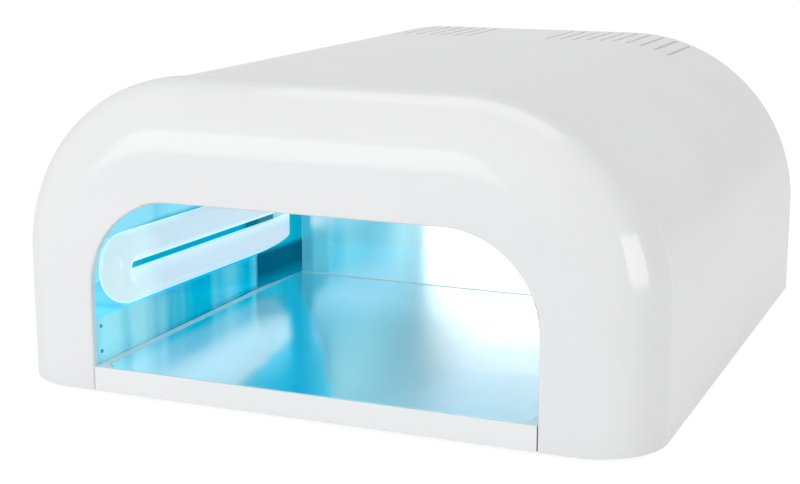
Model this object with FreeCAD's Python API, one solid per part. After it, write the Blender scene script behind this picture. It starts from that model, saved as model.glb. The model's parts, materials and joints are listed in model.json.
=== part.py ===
import FreeCAD, Part
import math
import os

# Tunnel lamp for curing nail varnish: an arched housing open at the front, a pull-out tray,
# folded mirror sheets, four U-shaped tubes and the electrics behind the back mirror.
# Millimetres. +X is to the right, -Y is the open front, +Z is up. The origin is on the
# surface that the feet stand on, under the middle of the housing.

# ---- Housing ----
housing_width = 230.0
housing_depth = 243.0
housing_height = 108.0        # from the lower edge to the flat top
wall = 2.5
shoulder_radius = 70.8        # arch corners behind the hood
hood_shoulder_radius = 66.0   # tighter corners, so the hood stands proud there
hood_side_rounding = 24.0     # front edge of the hood at its sides
hood_top_rounding = 15.0      # depth of the roll-over along the hood's top
hood_top_roll = 24.0          # height of the roll-over along the hood's top
hood_sections = 12            # outlines that the roll-over is drawn through
hood_overrun = 0.01           # how far the roll-over's end stands clear of the hood's flat band
hood_land = 3.0               # flat band between the hood's front and rear rounding
hood_rear_rounding = 8.0
hood_rake = 7.0               # degrees that the hood's rear edge leans back towards the base
rear_edge_rounding = 3.0
mouth_side = 35.0             # from the housing's sides to the mouth's
mouth_crown = 40.1            # from the housing's flat top down to the mouth's
mouth_corner_radius = 32.2
mouth_edge_rounding = 0.8

# ---- Vents ----
vent_count = 10
vent_pitch = 5.76
vent_width = 1.3
vent_length = 40.0
vent_inner_x = 17.7           # first slot's centre line, from the middle of the housing
vent_rear_margin = 7.0        # from the rear face to the slots' ends

# ---- Base ----
foot_proud = 1.5
foot_radius = 6.0
foot_inset_x = 15.0           # from the base frame's side to the foot's centre
foot_inset_y = 26.0
foot_stem_radius = 2.4
foot_button = 1.0             # how far the foot's button overlaps the base frame, and its height
base_thickness = 2.0
base_floor = 0.6              # left below the base frame's blind screw holes
fit_gap = 0.3                 # between the base frame and the housing's walls
bay_ledge = 7.0               # how far the base frame reaches in under the tray

# ---- Tray ----
lip_height = 8.5
lip_thickness = 2.5
tray_thickness = 2.0
tray_gap = 0.3                # each side of the tray and its lip
tray_rim = 2.9                # raised rim beside the mirror sheet
tray_rear_rim = 0.8           # and behind it and in front of it
tray_front_rim = 1.0
mirror_thickness = 0.5
mirror_play = 0.2
mirror_sink = 0.1             # mirror sheet below the rim
mirror_corner = 4.0           # cut-off corners of the mirror sheet

# ---- Tray rails ----
rail_floor = 1.2
rail_web = 1.6
rail_lip = 1.0
rail_lip_reach = 2.4
rail_gap = 0.3                # running gap around the tray's runners
runner_web = 1.8
runner_tongue = 2.6
runner_tongue_height = 1.2

# ---- Mirror sheets ----
sheet = 0.8
liner_gap = 0.15              # from the mouth's edge out to the liner's face
fold_height = 24.7            # up to the liner's shelf at its front
recess_depth = 17.2
recess_drop = 26.0            # from the ceiling sheet down to the recess's upper fold
ceiling_drop = 22.0           # from the housing's top down to the ceiling sheet's face
ceiling_margin = 2.0          # from the mouth's sides in to the ceiling sheet's edges
liner_flange = 9.0
liner_screw_shares = (0.15, 0.5, 0.85)   # of the liner's length
electrics_depth = 90.0        # from the back mirror to the rear face
back_mirror_flange = 10.0
wing_depth = 33.0             # of the back mirror's slanted sides, along the housing
wing_width = 4.2              # how far they close in
wing_lift = 0.4               # above the tray
wing_drop = 3.0               # below the ceiling sheet

# ---- Tubes ----
tube_radius = 5.7
tube_pitch = 14.4
tube_front_gap = 14.2         # from the front face to the tip
side_tube_offset = 2.8        # from the liner's face out to the tubes' centre lines
side_tube_lift = 0.4          # above the liner's fold
side_droop = 1.35             # degrees that the side tubes and their shelves fall towards the back
top_tube_drop = 3.0           # below the ceiling sheet
top_tube_x = 26.0
cap_length = 20.0
cap_wall = 2.0                # around the glass
cap_overlap = 4.0             # glass held inside the cap
cap_clearance = 1.0           # behind the back mirror
cap_post_width = 14.0
cap_post_height = 10.0
cap_post_length = 14.0
pin_radius = 1.15
pin_pitch = 23.0
pin_length = 6.5
holder_length = 20.0
holder_margin = 2.5
holder_play = 0.1

# ---- Lampholder brackets ----
bracket_thickness = 1.5
bracket_foot = 12.0
clip_thickness = 0.6
clip_width = 8.0
clip_gap = 0.05
clip_neck = 2.4
clip_front = 30.0             # from the tube's tip to the clip
bridge_leg = 10.0
holder_screw_bite = 5.0

# ---- Fasteners ----
screw_radius = 1.5
screw_head_radius = 3.0
screw_head_height = 1.0
rivet_radius = 0.4
rivet_head_radius = 0.6
rivet_head_height = 0.25
rivet_low = 12.5              # heights of the two rivets beside the mouth
rivet_high = 21.5
rivet_front = 5.5             # from the front face
rivet_margin = 20.0           # from the ends of the ceiling sheet to its first and last rivets
small_screw_radius = 1.2
small_screw_head = 2.2
boss_radius = 4.5
boss_height = 20.0
boss_inset = 8.0              # from the housing's inner side wall to the boss's centre
boss_front = 45.0             # from the front face
boss_rear = 38.0              # from the rear face
rib_thickness = 5.0
rib_depth = 8.0

# ---- Controls in a sunk panel on the rear wall ----
panel_depth = 4.5
panel_left = -72.0            # the panel's left side, as X
panel_side = 21.0             # from the panel's right side to the housing's
panel_low = 18.0              # the panel's lower and upper edges, above the housing's edge
panel_high = 66.0
controls_height = 44.0
switch_width = 12.9
switch_height = 19.2
switch_depth = 16.0
switch_bezel = 1.6            # how far the bezel overlaps the panel, and how thick it is
rocker_width = 9.6
rocker_length = 16.0
rocker_rise = 3.2             # from the pivot to the rocker's ends
rocker_dish = 2.2             # from the pivot to the middle of the rocker's face
rocker_belly = 3.0            # from the pivot to the rocker's underside
rocker_gap = 0.25
rocker_angle = 8.0            # each way from level
rocker_pivot_depth = 0.5      # pivot, behind the panel's face
rocker_pin_radius = 1.0
rocker_pin_length = 1.2
rocker_pin_gap = 0.05
blade_width = 4.0
blade_thickness = 0.8
blade_length = 8.0
blade_pitch = 10.0
power_switch_x = 34.0
timer_switch_x = -12.0
button_x = -46.0
button_radius = 5.5
button_gap = 0.15
button_travel = 2.0
button_proud = 3.4
button_length = 14.0
button_collar = 1.2           # ring that keeps the button in its sleeve
sleeve_wall = 1.6
sleeve_flange = 2.0
sleeve_flange_thickness = 1.0
sleeve_length = 9.0
nut_corners = 22.0            # across the nut's corners
nut_thickness = 3.0
tact_size = 6.0
tact_height = 4.0
inlet_inset = 22.0            # from the panel's right side to the inlet's middle
inlet_drop = 8.0              # below the height of the other controls
inlet_length = 22.0
inlet_height = 13.0
inlet_depth = 18.0
inlet_flange = 3.0
inlet_flange_thickness = 1.5
inlet_socket_length = 16.0
inlet_socket_height = 9.0
inlet_socket_depth = 14.0
inlet_pin_radius = 1.2
inlet_pin_pitch = 8.6
inlet_pin_length = 9.0
inlet_tail = 6.0

# ---- Boards and leads ----
board_thickness = 1.6
board_standoff = 5.0
board_depth = 37.0
board_gap = 1.5               # behind the lampholder brackets
board_inner_x = 8.0
board_side_gap = 20.5         # from a board to the housing's inner side wall
board_margin = 4.0            # from a board's edge to its screws
standoff_radius = 3.0
choke_size = 15.0
choke_height = 13.0
capacitor_radius = 5.0
capacitor_height = 18.0
film_length = 13.0
film_width = 6.0
film_height = 11.0
transistor_width = 10.0
transistor_thickness = 4.5
transistor_height = 15.0
timer_board_width = 46.0
timer_board_height = 30.0
chip_length = 10.0
chip_width = 6.5
chip_height = 3.2
relay_length = 19.0
relay_width = 15.0
relay_height = 10.0
lead_radius = 0.8
lead_pitch = 5.0
lead_run_length = 12.0        # from a holder to where its leads turn down
lead_bend_radius = 5.0

touch = 0.01                  # faces and edges nearer than this count as touching

out = "parts"
os.makedirs(out, exist_ok=True)


def vec(x, y, z):
    return FreeCAD.Vector(x, y, z)


# Places that follow from the sizes above.
front = -housing_depth / 2
rear = housing_depth / 2
low = foot_proud
top = low + housing_height
half_width = housing_width / 2
mouth_half = half_width - mouth_side
mouth_top = top - mouth_crown
inside_front = front + wall
inside_rear = rear - wall
inside_half = half_width - wall
inside_top = top - wall
panel_right = half_width - panel_side
inlet_x = panel_right - inlet_inset
panel_face = rear - panel_depth
panel_inside = panel_face - wall
base_top = low + base_thickness
base_half = inside_half - fit_gap
base_front = inside_front + fit_gap
bay_half = mouth_half - bay_ledge
tray_top = low + lip_height
tray_under = tray_top - tray_thickness
tray_half = mouth_half - tray_gap
chamber_rear = rear - electrics_depth
tray_rear = chamber_rear - tray_gap
liner_x = mouth_half + liner_gap
liner_back = liner_x + sheet
liner_front = inside_front + fit_gap
fold_z = low + fold_height
recess_x = liner_x + recess_depth
ceiling_z = top - ceiling_drop
ceiling_half_width = mouth_half - ceiling_margin
ceiling_top = ceiling_z + sheet
liner_top_x = ceiling_half_width + fit_gap
side_tube_x = liner_x + side_tube_offset
side_tube_z = fold_z + side_tube_lift + tube_pitch / 2 + tube_radius
droop = math.radians(side_droop)
top_tube_z = ceiling_z - top_tube_drop - tube_radius
tube_tip = front + tube_front_gap
cap_front = chamber_rear + sheet + cap_clearance
cap_rear = cap_front + cap_length
cap_half_long = tube_pitch / 2 + tube_radius + cap_wall
cap_half_short = tube_radius + cap_wall
holder_rear = cap_rear + holder_length
holder_half_long = cap_half_long + holder_margin
holder_half_short = cap_half_short + holder_margin / 2
bracket_rear = holder_rear + bracket_thickness
controls_z = low + controls_height
inlet_z = controls_z - inlet_drop
board_z = base_top + board_standoff
board_top = board_z + board_thickness
board_front = bracket_rear + board_gap
board_rear = board_front + board_depth
board_width = inside_half - board_inner_x - board_side_gap
thread_end = low + base_floor  # lower ends of the blind holes in the base frame
switch_xs = (power_switch_x, timer_switch_x)


def box(x0, x1, y0, y1, z0, z1):
    return Part.makeBox(x1 - x0, y1 - y0, z1 - z0, vec(x0, y0, z0))


def rod(x, y, z, radius, length, direction):
    return Part.makeCylinder(radius, length, vec(x, y, z), direction)


def up(x, y, z, radius, length):
    return rod(x, y, z, radius, length, vec(0, 0, 1))


def back(x, y, z, radius, length):
    return rod(x, y, z, radius, length, vec(0, 1, 0))


def mirrored(shape):
    return shape.mirror(vec(0, 0, 0), vec(1, 0, 0))


def pair(shape):
    return [shape, mirrored(shape)]


def drooped(shape):
    """Tip a side tube's piece down towards the back, about its front end."""
    tipped = shape.copy()
    tipped.rotate(vec(0, liner_front, side_tube_z), vec(1, 0, 0), -side_droop)
    return tipped


def drooped_place(y, z):
    run = y - liner_front
    rise = z - side_tube_z
    return liner_front + run * math.cos(droop) + rise * math.sin(droop), \
        side_tube_z + rise * math.cos(droop) - run * math.sin(droop)


def near(one, other):
    return abs(one - other) < touch


def edges_at(shape, y):
    """Edges that lie in the upright plane at a depth."""
    return [edge for edge in shape.Edges if near(edge.BoundBox.YMin, y) and near(edge.BoundBox.YMax, y)]


def polygon(points):
    return Part.Face(Part.makePolygon(points + [points[0]]))


def upright(points, y0, y1):
    """Extrude an outline drawn in X and Z along the depth."""
    return polygon([vec(x, y0, z) for x, z in points]).extrude(vec(0, y1 - y0, 0))


def stadium(x, z, half_long, half_short, y0, y1, tall):
    """Bar with round ends along Y, its long side along Z if tall and along X if not."""
    run = half_long - half_short
    ends = [(x, z - run), (x, z + run)] if tall else [(x - run, z), (x + run, z)]
    half_x, half_z = (half_short, run) if tall else (run, half_short)
    middle = box(x - half_x, x + half_x, y0, y1, z - half_z, z + half_z)
    return middle.fuse([back(end_x, y0, end_z, half_short, y1 - y0) for end_x, end_z in ends])


def along(place, direction, shape):
    """Turn a shape drawn along +Z to another direction and put it in its place."""
    shape.Placement = FreeCAD.Placement(place, FreeCAD.Rotation(vec(0, 0, 1), direction))
    return shape


def screw(place, direction, length, radius, head):
    """Pan-head screw with a cross recess; its head bears on the given place."""
    shank = up(0, 0, 0, radius, length)
    pan = up(0, 0, -screw_head_height, head, screw_head_height)
    rim = [edge for edge in pan.Edges if edge.BoundBox.ZMax < -screw_head_height / 2]
    pan = pan.makeFillet(screw_head_height / 2, rim)
    arm = head / 2
    half = head / 8
    deep = -screw_head_height / 3
    cross = [
        box(-arm, arm, -half, half, -2 * screw_head_height, deep),
        box(-half, half, -arm, arm, -2 * screw_head_height, deep),
    ]
    return along(place, direction, pan.fuse(shank).cut(cross))


def rivet(place, direction, grip):
    """Blind rivet: a domed head, a shank through the grip and a swollen tail."""
    head = up(0, 0, -rivet_head_height, rivet_head_radius, rivet_head_height)
    rim = [edge for edge in head.Edges if edge.BoundBox.ZMax < -rivet_head_height / 2]
    head = head.makeFillet(rivet_head_height / 2, rim)
    shank = up(0, 0, 0, rivet_radius, grip)
    tail = up(0, 0, grip, (rivet_radius + rivet_head_radius) / 2, rivet_head_height)
    return along(place, direction, head.fuse([shank, tail]))


def save(name, solids):
    """Write one solid, or a group of separate solids, as parts/NAME.step."""
    if not isinstance(solids, list):
        solids = [solids]
    clean = []
    for shape in solids:
        clean.extend(shape.removeSplitter().Solids)
    whole = clean[0] if len(clean) == 1 else Part.makeCompound(clean)
    whole.exportStep(os.path.join(out, name + ".step"))


# ---------------------------------------------------------------- housing

def arch(half, height_top, radius, y, base):
    """Upright outline of the housing: straight sides, round shoulders, flat top."""
    spring = height_top - radius
    bend = radius * (1 - math.sqrt(0.5))
    left = [vec(-half, y, base), vec(-half, y, spring), vec(-half + radius, y, height_top)]
    right = [vec(half - radius, y, height_top), vec(half, y, spring), vec(half, y, base)]
    left_mid = vec(-half + bend, y, height_top - bend)
    right_mid = vec(half - bend, y, height_top - bend)
    edges = [
        Part.makeLine(left[0], left[1]),
        Part.Arc(left[1], left_mid, left[2]).toShape(),
        Part.makeLine(left[2], right[0]),
        Part.Arc(right[0], right_mid, right[1]).toShape(),
        Part.makeLine(right[1], right[2]),
        Part.makeLine(right[2], left[0]),
    ]
    return Part.Face(Part.Wire(edges))


def behind_plane(y_at_spring, spring):
    """Everything behind a plane that leans forward with height by the hood's rake."""
    lean = math.tan(math.radians(hood_rake))
    far = 3 * housing_depth
    points = [
        vec(-far, y_at_spring - lean * far, spring + far),
        vec(-far, y_at_spring + lean * far, spring - far),
        vec(-far, y_at_spring + 3 * far, spring - far),
        vec(-far, y_at_spring + 3 * far, spring + far),
    ]
    return polygon(points).extrude(vec(2 * far, 0, 0))


def rolled(share):
    """Height of a quarter ellipse, as a share, at a share of its depth from the front."""
    return 1 - math.sqrt(1 - (1 - min(share, 1)) ** 2)


def rolled_arch(half, height_top, radius, y, base, trim, length):
    """Arch along the depth whose front edges roll over, by quarter ellipses less a trim."""
    side = hood_side_rounding - trim
    depth = hood_top_rounding - trim
    height = hood_top_roll - trim
    outlines = []
    for index in range(hood_sections + 1):
        run = side * (1 - math.cos(math.pi / 2 * index / hood_sections))
        in_side = side * rolled(run / side)
        in_top = height * rolled(run / depth)
        corner = radius - (in_side + in_top) / 2
        outlines.append(arch(half - in_side, height_top - in_top, corner, y + run, base).OuterWire)
    straight = arch(half, height_top, radius, y + side, base).extrude(vec(0, length - side, 0))
    return Part.makeLoft(outlines, True).fuse(straight)


def hood():
    """Front of the housing: it stands proud of the body at the shoulders and rolls over to it."""
    spring = top - hood_shoulder_radius
    rear_at_spring = front + hood_side_rounding + hood_land + hood_rear_rounding
    outline = arch(half_width, top, hood_shoulder_radius, front, low)
    block = outline.extrude(vec(0, housing_depth / 2, 0)).cut(behind_plane(rear_at_spring, spring))
    behind = [edge for edge in block.Edges if edge.BoundBox.YMin > front + wall]
    block = block.makeFillet(hood_rear_rounding, [edge for edge in behind if edge.BoundBox.ZMax > low + wall])
    over = hood_overrun
    radius = hood_shoulder_radius + over
    roll = rolled_arch(half_width + over, top + over, radius, front, low - wall, 0, housing_depth)
    return block.common(roll)


def body():
    """Arched body behind the hood; it starts inside the hood's flat band."""
    block = arch(half_width, top, shoulder_radius, front, low).extrude(vec(0, housing_depth, 0))
    start = front + hood_side_rounding + hood_land / 2
    block = block.common(behind_plane(start, top - hood_shoulder_radius))
    rim = [edge for edge in edges_at(block, rear) if edge.BoundBox.ZMax > low + wall]
    return block.makeFillet(rear_edge_rounding, rim)


def inside(gap):
    """Space inside the housing at a gap from its walls, without the sunk panel's step."""
    base = low - wall
    crown = inside_top - gap
    y0 = inside_front + gap
    inset = wall + gap
    length = inside_rear - gap - y0
    return rolled_arch(inside_half - gap, crown, shoulder_radius - inset, y0, base, inset, length)


def panel_block(y0, y1, margin):
    z0 = low + panel_low - margin
    z1 = low + panel_high + margin
    return box(panel_left - margin, panel_right + margin, y0, y1, z0, z1)


def mouth(y0, y1):
    outline = arch(mouth_half, mouth_top, mouth_corner_radius, y0, low - wall)
    return outline.extrude(vec(0, y1 - y0, 0))


def mouth_rim(shell):
    """Front edges of the mouth, without the housing's own lower edge."""
    limit = mouth_half + touch
    rim = [edge for edge in edges_at(shell, front) if edge.BoundBox.ZMax > low + touch]
    return [edge for edge in rim if edge.BoundBox.XMin > -limit and edge.BoundBox.XMax < limit]


def vents():
    slots = []
    y_end = rear - vent_rear_margin
    for index in range(vent_count):
        x = vent_inner_x + index * vent_pitch
        slot = box(x - vent_width / 2, x + vent_width / 2, y_end - vent_length, y_end, ceiling_z, top + wall)
        slots.extend(pair(slot))
    return slots


def boss_places():
    x = inside_half - boss_inset
    first = front + boss_front
    last = rear - boss_rear
    return [(side * x, y) for side in (-1, 1) for y in (first, (first + last) / 2, last)]


def mouth_rivet_places():
    return [vec(liner_x, front + rivet_front, low + height) for height in (rivet_low, rivet_high)]


def housing_shell():
    space = inside(0).cut(panel_block(panel_inside, rear, wall))
    shell = body().fuse(hood()).cut([space, panel_block(panel_face, rear + wall, 0)])
    shell = shell.cut([mouth(front - wall, inside_front + wall)] + vents())
    shell = shell.makeFillet(mouth_edge_rounding, mouth_rim(shell))
    # Bosses for the base screws stand off the side walls on a web each.
    extras = []
    bores = []
    boss_top = base_top + boss_height
    for x, y in boss_places():
        x0, x1 = sorted([x, math.copysign(inside_half + wall / 2, x)])
        extras.append(up(x, y, base_top, boss_radius, boss_height))
        extras.append(box(x0, x1, y - wall / 2, y + wall / 2, base_top, boss_top))
        bores.append(up(x, y, base_top - wall, screw_radius, boss_height))
    # A rib on each side of the mouth takes the liner's front rivets.
    rib_low = base_top + sheet + fit_gap
    rib_high = fold_z - sheet - 2 * fit_gap
    rib_front = front + wall / 2
    rib_rear = inside_front + rib_depth
    extras.extend(pair(box(liner_back, liner_back + rib_thickness, rib_front, rib_rear, rib_low, rib_high)))
    for place in mouth_rivet_places():
        bores.extend(pair(rod(place.x, place.y, place.z, rivet_radius, 2 * rib_thickness, vec(1, 0, 0))))
    # Two posts behind the panel carry the timer board.
    post_length = panel_inside + wall / 2 - timer_board_back
    for x, z in timer_screw_places():
        extras.append(back(x, timer_board_back, z, standoff_radius, post_length))
        bores.append(back(x, timer_board_back - wall, z, small_screw_radius, wall + timer_screw_bite))
    shell = shell.fuse(extras).cut(bores)
    # Holes in the panel for the two switches, the button's sleeve and the inlet.
    holes = [switch_block(x, panel_inside - wall, panel_face + wall) for x in switch_xs]
    holes.append(back(button_x, panel_inside - wall, controls_z, sleeve_radius, 3 * wall))
    holes.append(inlet_block(panel_inside - wall, panel_face + wall))
    return shell.cut(holes)


# ---------------------------------------------------------------- base, feet, screws

def foot_places():
    x = base_half - foot_inset_x
    return [(side * x, y) for side in (-1, 1) for y in (front + foot_inset_y, rear - foot_inset_y)]


def board_screw_places():
    xs = (board_inner_x + board_margin, board_inner_x + board_width - board_margin)
    ys = (board_front + board_margin, board_rear - board_margin)
    return [(side * x, y) for side in (-1, 1) for x in xs for y in ys]


def bracket_screw_places():
    y = holder_rear - bracket_foot / 2
    return [(side * x, y) for side in (-1, 1) for x in (side_tube_x, bridge_leg_x)]


def liner_screw_places():
    x = liner_x + liner_flange / 2
    run = chamber_rear - liner_front
    return [(side * x, liner_front + run * share) for side in (-1, 1) for share in liner_screw_shares]


def base_frame():
    """Floor of the housing, open under the tray, with posts for the boards."""
    plate = box(-base_half, base_half, base_front, inside_rear - fit_gap, low, base_top)
    corners = [e for e in plate.Edges if e.BoundBox.ZLength > wall / 2 and e.BoundBox.YMax < 0]
    plate = plate.makeFillet(hood_side_rounding - wall - fit_gap, corners)
    plate = plate.cut(box(-bay_half, bay_half, front, chamber_rear, low - wall, base_top + wall))
    posts = [up(x, y, base_top, standoff_radius, board_standoff) for x, y in board_screw_places()]
    holes = [up(x, y, low - wall, screw_radius + fit_gap, 3 * wall) for x, y in boss_places()]
    holes += [up(x, y, low - wall, foot_stem_radius, 3 * wall) for x, y in foot_places()]
    small_places = bracket_screw_places() + liner_screw_places() + mirror_screw_places()
    small_places += board_screw_places()
    holes += [up(x, y, thread_end, small_screw_radius, board_z) for x, y in small_places]
    return plate.fuse(posts).cut(holes)


def rubber_feet():
    feet = []
    for x, y in foot_places():
        pad = up(x, y, 0, foot_radius, foot_proud)
        rim = [edge for edge in pad.Edges if edge.BoundBox.ZMax < foot_proud / 2]
        pad = pad.makeChamfer(foot_proud / 4, rim)
        stem = up(x, y, foot_proud, foot_stem_radius, base_thickness)
        button = up(x, y, base_top, foot_stem_radius + foot_button, foot_button)
        feet.append(pad.fuse([stem, button]))
    return feet


def base_screws():
    length = base_thickness + boss_height - wall - fit_gap
    upward = vec(0, 0, 1)
    return [screw(vec(x, y, low), upward, length, screw_radius, screw_head_radius) for x, y in boss_places()]


def down_screw(x, y, z):
    """Small screw from above, down into the base frame."""
    length = z - thread_end - fit_gap
    return screw(vec(x, y, z), vec(0, 0, -1), length, small_screw_radius, small_screw_head)


# ---------------------------------------------------------------- tray and rails

rail_outer = tray_half - tray_gap
tongue_outer = rail_outer - rail_web - rail_gap
runner_inner = tongue_outer - runner_tongue - runner_web
tongue_low = base_top + rail_floor
tongue_high = tongue_low + runner_tongue_height
rail_lip_low = tongue_high + rail_gap


def tray_rail():
    """Channel on the base frame that holds one of the tray's runners down."""
    web_inner = rail_outer - rail_web
    outline = [
        (bay_half, base_top),
        (rail_outer, base_top),
        (rail_outer, rail_lip_low + rail_lip),
        (web_inner - rail_lip_reach, rail_lip_low + rail_lip),
        (web_inner - rail_lip_reach, rail_lip_low),
        (web_inner, rail_lip_low),
        (web_inner, tongue_low),
        (bay_half, tongue_low),
    ]
    return upright(outline, base_front, tray_rear)


def mirror_outline(z0, z1, inset):
    """The mirror sheet's plan, or its pocket in the tray: a rectangle with cut front corners."""
    half = tray_half - tray_rim - inset
    y0 = front + tray_front_rim + inset
    y1 = tray_rear - tray_rear_rim - inset
    points = [
        vec(-half, y1, z0),
        vec(half, y1, z0),
        vec(half, y0 + mirror_corner, z0),
        vec(half - mirror_corner, y0, z0),
        vec(-half + mirror_corner, y0, z0),
        vec(-half, y0 + mirror_corner, z0),
    ]
    return polygon(points).extrude(vec(0, 0, z1 - z0))


pocket_z = tray_top - mirror_thickness - mirror_sink


def tray():
    """Flat tray with a front lip that closes the foot of the mouth, and two hooked runners."""
    plate = box(-tray_half, tray_half, front, tray_rear, tray_under, tray_top)
    lip = box(-tray_half, tray_half, front, front + lip_thickness, low, tray_top)
    outline = [
        (runner_inner, tray_under),
        (runner_inner, tongue_low),
        (tongue_outer, tongue_low),
        (tongue_outer, tongue_high),
        (runner_inner + runner_web, tongue_high),
        (runner_inner + runner_web, tray_under),
    ]
    runner = upright(outline, front + lip_thickness, tray_rear)
    whole = plate.fuse([lip] + pair(runner))
    return whole.cut(mirror_outline(pocket_z, tray_top + wall, 0))


# ---------------------------------------------------------------- mirror sheets

def folded(points, falls, thickness, y0, y1):
    """A sheet folded along the depth, its points at the front given; each fold falls by a height.

    One face follows the points and the metal lies on their right.
    """
    normals = []
    for start, end in zip(points, points[1:]):
        length = math.hypot(end[0] - start[0], end[1] - start[1])
        normals.append(((end[1] - start[1]) / length, (start[0] - end[0]) / length))
    offset = []
    for index, point in enumerate(points):
        before = normals[max(index - 1, 0)]
        after = normals[min(index, len(normals) - 1)]
        scale = thickness / (1 + before[0] * after[0] + before[1] * after[1])
        offset.append((point[0] + (before[0] + after[0]) * scale, point[1] + (before[1] + after[1]) * scale))
    outline = points + offset[::-1]
    lower = falls + falls[::-1]
    fronts = [vec(x, y0, z) for x, z in outline]
    rears = [vec(x, y1, z - fall) for (x, z), fall in zip(outline, lower)]
    faces = [polygon(fronts), polygon(rears)]
    for index, start in enumerate(fronts):
        after = (index + 1) % len(fronts)
        if near(lower[index], lower[after]):
            faces.append(polygon([start, fronts[after], rears[after], rears[index]]))
        else:
            faces.append(polygon([start, fronts[after], rears[index]]))
            faces.append(polygon([fronts[after], rears[after], rears[index]]))
    return Part.Solid(Part.Shell(faces))


def ceiling_rivet_places():
    x = liner_top_x - liner_flange / 2
    first = liner_front + rivet_margin
    last = chamber_rear - rivet_margin
    return [vec(x, y, ceiling_z) for y in (first, (first + last) / 2, last)]


def side_mirror():
    """Right-hand liner: wall, shelf at the fold, recess behind the tube, slope and top flange."""
    points = [
        (liner_x, base_top),
        (liner_x, fold_z),
        (recess_x, fold_z),
        (recess_x, ceiling_z - recess_drop),
        (liner_top_x, ceiling_top),
        (liner_top_x - liner_flange, ceiling_top),
    ]
    fall = (chamber_rear - liner_front) * math.tan(droop)
    liner = folded(points, [0, fall, fall, 0, 0, 0], sheet, liner_front, chamber_rear)
    flange = box(liner_x, liner_x + liner_flange, liner_front, chamber_rear, base_top, base_top + sheet)
    screws = [place for place in liner_screw_places() if place[0] > 0]
    bores = [up(x, y, base_top - wall, small_screw_radius, 2 * wall) for x, y in screws]
    bores += [rod(p.x - wall, p.y, p.z, rivet_radius, 2 * wall, vec(1, 0, 0)) for p in mouth_rivet_places()]
    bores += [up(p.x, p.y, p.z, rivet_radius, 2 * wall) for p in ceiling_rivet_places()]
    return liner.fuse(flange).common(inside(fit_gap)).cut(bores)


def ceiling_mirror():
    half = ceiling_half_width
    plate = box(-half, half, liner_front, chamber_rear + sheet, ceiling_z, ceiling_top)
    bores = []
    for place in ceiling_rivet_places():
        bores.extend(pair(up(place.x, place.y, place.z - wall, rivet_radius, 2 * wall)))
    return plate.common(inside(fit_gap)).cut(bores)


wing_rear_x = liner_x - wing_width
mirror_foot_half = wing_rear_x - fit_gap


def mirror_screw_places():
    y = chamber_rear + back_mirror_flange / 2
    return [(side * mirror_foot_half / 2, y) for side in (-1, 1)]


def mirror_wing():
    """Slanted right-hand side of the back mirror, which meets the liner in front."""
    wing_low = tray_top + wing_lift
    tip_x = liner_x - sheet - touch
    tip_y = chamber_rear - wing_depth
    points = [
        vec(wing_rear_x, chamber_rear, wing_low),
        vec(wing_rear_x + sheet, chamber_rear, wing_low),
        vec(tip_x + sheet, tip_y, wing_low),
        vec(tip_x, tip_y, wing_low),
    ]
    return polygon(points).extrude(vec(0, 0, ceiling_z - wing_drop - wing_low))


def back_mirror():
    """Folded sheet at the back of the chamber, with a foot, two wings and openings for the tubes."""
    half = wing_rear_x + sheet
    plate = box(-half, half, chamber_rear, chamber_rear + sheet, base_top, ceiling_z)
    half = mirror_foot_half
    foot = box(-half, half, chamber_rear, chamber_rear + back_mirror_flange, base_top, base_top + sheet)
    bores = [up(x, y, base_top - wall, small_screw_radius, 2 * wall) for x, y in mirror_screw_places()]
    half_short = tube_radius + fit_gap
    half_long = tube_pitch / 2 + half_short
    for _, x, z, tall in right_lamps():
        opening = stadium(x, z, half_long, half_short, chamber_rear - 2 * wing_depth, cap_rear, tall)
        bores.extend(pair(drooped(opening) if tall else opening))
    return plate.fuse([foot] + pair(mirror_wing())).cut(bores)


# ---------------------------------------------------------------- tubes, caps, holders

def right_lamps():
    """Name, X, Z and whether the U stands upright, for the two tubes on the right."""
    return [("side", side_tube_x, side_tube_z, True), ("ceiling", top_tube_x, top_tube_z, False)]


def long_points(x, z, distance, tall):
    """Two points at a distance each side of a lamp's middle, along its long side."""
    if tall:
        return [(x, z - distance), (x, z + distance)]
    return [(x - distance, z), (x + distance, z)]


def u_tube(x, z, tall):
    bend_y = tube_tip + tube_radius + tube_pitch / 2
    limbs = long_points(x, z, tube_pitch / 2, tall)
    solids = [back(a, bend_y, b, tube_radius, cap_front + cap_overlap - bend_y) for a, b in limbs]
    circle = Part.Edge(Part.Circle(vec(limbs[1][0], bend_y, limbs[1][1]), vec(0, 1, 0), tube_radius))
    axis = vec(1, 0, 0) if tall else vec(0, 0, -1)
    bend = Part.Face(Part.Wire(circle)).revolve(vec(x, bend_y, z), axis, 180)
    return solids[0].fuse([solids[1], bend])


def cap_post(x, z, tall, play, y0):
    """Post behind a tube's cap, or with some play the well that takes it."""
    long = cap_post_width / 2 + play
    short = cap_post_height / 2 + play
    half_x, half_z = (short, long) if tall else (long, short)
    return box(x - half_x, x + half_x, y0, cap_rear + cap_post_length + play, z - half_z, z + half_z)


def tube_cap(x, z, tall):
    cap = stadium(x, z, cap_half_long, cap_half_short, cap_front, cap_rear, tall)
    bores = [back(a, cap_front - wall, b, tube_radius, wall + cap_overlap)
             for a, b in long_points(x, z, tube_pitch / 2, tall)]
    return cap.fuse(cap_post(x, z, tall, 0, cap_rear)).cut(bores)


def cap_pins(x, z, tall):
    return [back(a, cap_rear, b, pin_radius, pin_length) for a, b in long_points(x, z, pin_pitch / 2, tall)]


def holder_screw_points(x, z, tall):
    return long_points(x, z, cap_half_long - small_screw_radius, tall)


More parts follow.
